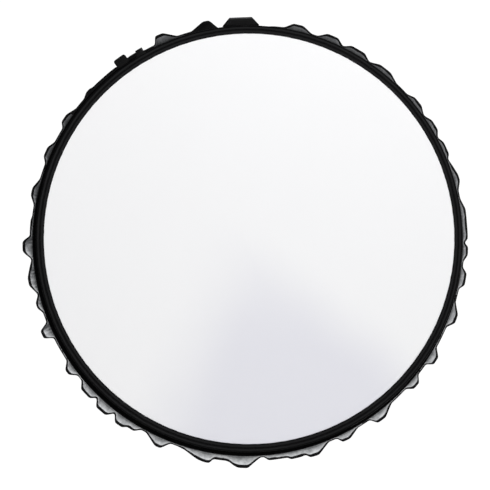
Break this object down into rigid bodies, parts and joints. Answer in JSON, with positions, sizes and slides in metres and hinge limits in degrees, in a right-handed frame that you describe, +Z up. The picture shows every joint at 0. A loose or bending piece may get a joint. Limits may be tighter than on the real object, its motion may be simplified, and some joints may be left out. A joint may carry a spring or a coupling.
{
  "type": "collapsible backdrop panel",
  "caption": "Round pop-up backdrop panel: white cloth face in a black bound rim, zipped over a spring hoop, with a ruffled corded margin behind.",
  "frame": {"origin": "centre of the white cloth's front surface", "axes": "+Z up as the panel hangs, +X to the viewer's right, -Y out of the white face towards the viewer"},
  "size_m": [1.1581, 0.0562, 1.1673],
  "materials": {
    "white_cloth": "plain taffeta weave, matt",
    "core_cloth": "thin diffusing cloth, matt",
    "black_tape": "ribbed binding tape",
    "black_cloth": "plain black taffeta",
    "silver_cloth": "metallised cloth, crinkled, satin",
    "spring_steel": "tempered flat band",
    "brass": "crimped brass sleeve",
    "black_metal": "black enamelled die casting",
    "black_plastic": "nylon coil",
    "black_rubber": "moulded grip, matt"
  },
  "bodies": {
    "panel": {"hoop_band": "spring_steel", "hoop_splice_sleeve": "brass", "core_diffuser": "core_cloth", "core_casing": "black_tape", "front_face": "white_cloth", "front_binding": "black_tape", "zip_tape_front": "black_cloth", "zip_tape_rear": "black_cloth", "rim_band": "black_tape", "zip_coil_front": "black_plastic", "zip_coil_rear": "black_plastic", "zip_stop_closed": "black_metal", "zip_stop_open": "black_metal", "rear_lining_silver": "silver_cloth", "rear_face": "black_cloth", "rear_gusset": "black_tape", "ruffle_margin": "silver_cloth", "ruffle_piping": "black_tape", "hanging_loop": "black_tape"},
    "slider": {"zip_slider": "black_metal"},
    "pull": {"zip_pull_link": "black_metal", "zip_pull_grip": "black_rubber"}
  },
  "joints": [
    {"name": "zip_slider_travel", "type": "hinge", "parent": "panel", "child": "slider", "pos_m": [0, 0.00905, 0], "axis": [0, 1, 0], "range_deg": [0, 179.5]},
    {"name": "zip_pull_swing", "type": "hinge", "parent": "slider", "child": "pull", "pos_m": [-0.28254, 0.00905, 0.4835], "axis": [0, 1, 0], "range_deg": [0, 150]}
  ]
}
